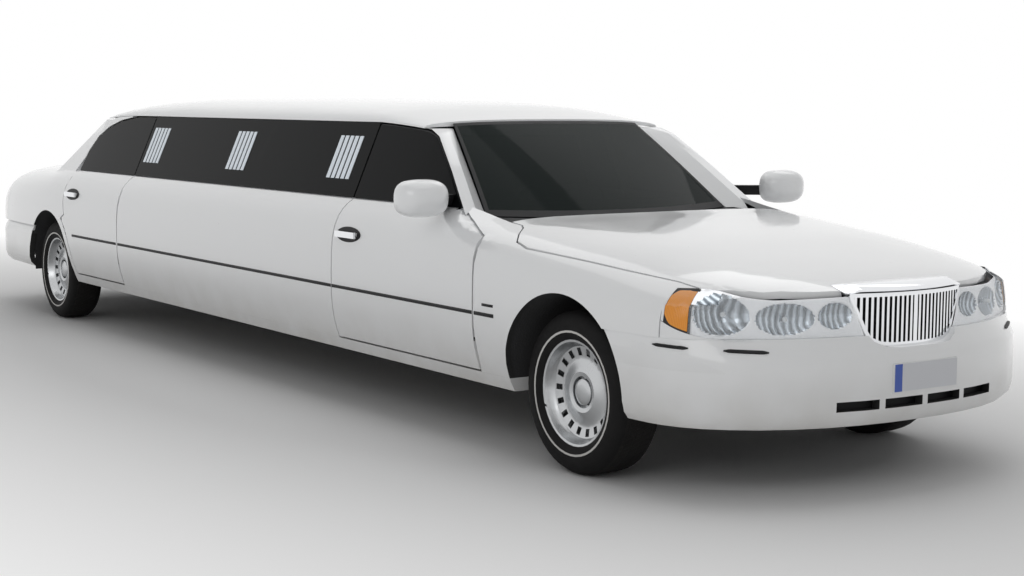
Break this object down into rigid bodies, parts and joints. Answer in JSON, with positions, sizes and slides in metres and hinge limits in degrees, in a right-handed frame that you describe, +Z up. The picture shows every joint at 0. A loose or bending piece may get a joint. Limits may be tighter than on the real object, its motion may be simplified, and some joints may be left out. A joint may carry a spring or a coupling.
{
  "type": "stretched saloon car",
  "caption": "Long white stretched limousine with hinged doors, hood and trunk lid, steering front wheels, a vertical-bar bright grille, dark side glass and slotted dish wheels.",
  "frame": {"origin": "on the ground under the middle of the overall box", "axes": "+X towards the nose, +Y to the car's left, +Z up"},
  "size_m": [8.53, 2.396, 1.53],
  "materials": {
    "white_paint": "gloss",
    "tinted_glass": "gloss",
    "chassis_black": "matte",
    "steel": "satin",
    "white_trim": "gloss",
    "chrome": "polished",
    "clear_lens": "gloss",
    "red_lens": "gloss",
    "dark_plastic": "matte",
    "seat_leather": "satin",
    "wheel_alloy": "polished",
    "tyre": "matte"
  },
  "bodies": {
    "body": {"frame": "chassis_black", "floor_pan": "chassis_black", "cowl": "white_paint", "rockers": "white_paint", "side_panels": "white_paint", "quarter_panels": "white_paint", "front_fenders": "white_paint", "wheel_liners": "dark_plastic", "roof": "white_paint", "a_pillars": "white_paint", "windshield": "tinted_glass", "rear_window": "tinted_glass", "side_glass": "tinted_glass", "pillar_bars": "white_trim", "deck_panel": "white_paint", "front_bumper": "white_paint", "rear_bumper": "white_paint", "grille": "chrome", "headlamps": "clear_lens", "tail_lamps": "red_lens", "dashboard": "dark_plastic", "front_seats": "seat_leather", "lounge_seats": "seat_leather", "partition": "dark_plastic", "engine": "chassis_black", "drive_line": "chassis_black", "exhaust": "steel", "fuel_tank": "chassis_black", "rear_axle": "chassis_black", "front_suspension": "chassis_black"},
    "hood": {"hood": "white_paint"},
    "trunk_lid": {"trunk_lid": "white_paint"},
    "steering_wheel": {"steering_wheel": "dark_plastic"},
    "knuckle_left": {"knuckle_left": "chassis_black"},
    "knuckle_right": {"knuckle_right": "chassis_black"},
    "front_door_left": {"front_door_left": "white_paint", "front_glass_left": "tinted_glass", "mirror_left": "white_paint"},
    "rear_door_left": {"rear_door_left": "white_paint", "rear_glass_left": "tinted_glass"},
    "front_wheel_left": {"front_wheel_left": "wheel_alloy", "front_tyre_left": "tyre"},
    "rear_wheel_left": {"rear_wheel_left": "wheel_alloy", "rear_tyre_left": "tyre"},
    "front_door_right": {"front_door_right": "white_paint", "front_glass_right": "tinted_glass", "mirror_right": "white_paint"},
    "rear_door_right": {"rear_door_right": "white_paint", "rear_glass_right": "tinted_glass"},
    "front_wheel_right": {"front_wheel_right": "wheel_alloy", "front_tyre_right": "tyre"},
    "rear_wheel_right": {"rear_wheel_right": "wheel_alloy", "rear_tyre_right": "tyre"}
  },
  "joints": [
    {"name": "front_door_left_hinge", "type": "hinge", "parent": "body", "child": "front_door_left", "pos_m": [2.568, 0.968, 0.6], "axis": [0, 0, -1], "range_deg": [0, 65]},
    {"name": "rear_door_left_hinge", "type": "hinge", "parent": "body", "child": "rear_door_left", "pos_m": [-1.552, 0.968, 0.6], "axis": [0, 0, -1], "range_deg": [0, 65]},
    {"name": "steer_left", "type": "hinge", "parent": "body", "child": "knuckle_left", "pos_m": [3.205, 0.68, 0.338], "axis": [0, 0, 1], "range_deg": [-33, 33]},
    {"name": "front_wheel_left_spin", "type": "hinge", "parent": "knuckle_left", "child": "front_wheel_left", "pos_m": [3.205, 0.806, 0.338], "axis": [0, 1, 0], "continuous": true},
    {"name": "rear_wheel_left_spin", "type": "hinge", "parent": "body", "child": "rear_wheel_left", "pos_m": [-2.835, 0.822, 0.338], "axis": [0, 1, 0], "continuous": true},
    {"name": "front_door_right_hinge", "type": "hinge", "parent": "body", "child": "front_door_right", "pos_m": [2.568, -0.968, 0.6], "axis": [0, 0, 1], "range_deg": [0, 65]},
    {"name": "rear_door_right_hinge", "type": "hinge", "parent": "body", "child": "rear_door_right", "pos_m": [-1.552, -0.968, 0.6], "axis": [0, 0, 1], "range_deg": [0, 65]},
    {"name": "steer_right", "type": "hinge", "parent": "body", "child": "knuckle_right", "pos_m": [3.205, -0.68, 0.338], "axis": [0, 0, 1], "range_deg": [-33, 33]},
    {"name": "front_wheel_right_spin", "type": "hinge", "parent": "knuckle_right", "child": "front_wheel_right", "pos_m": [3.205, -0.806, 0.338], "axis": [0, 1, 0], "continuous": true},
    {"name": "rear_wheel_right_spin", "type": "hinge", "parent": "body", "child": "rear_wheel_right", "pos_m": [-2.835, -0.822, 0.338], "axis": [0, 1, 0], "continuous": true},
    {"name": "hood_hinge", "type": "hinge", "parent": "body", "child": "hood", "pos_m": [2.604, 0, 0.978], "axis": [0, -1, 0], "range_deg": [0, 55]},
    {"name": "trunk_hinge", "type": "hinge", "parent": "body", "child": "trunk_lid", "pos_m": [-3.145, 0, 1.042], "axis": [0, 1, 0], "range_deg": [0, 70]},
    {"name": "steering_wheel_turn", "type": "hinge", "parent": "body", "child": "steering_wheel", "pos_m": [2.10592, 0.38, 0.85619], "axis": [-0.9272, 0, 0.3746], "range_deg": [-462, 462]}
  ],
  "couplings": [
    {"joint": "steer_right", "follows": "steer_left", "ratio": 1},
    {"joint": "steering_wheel_turn", "follows": "steer_left", "ratio": 14}
  ]
}
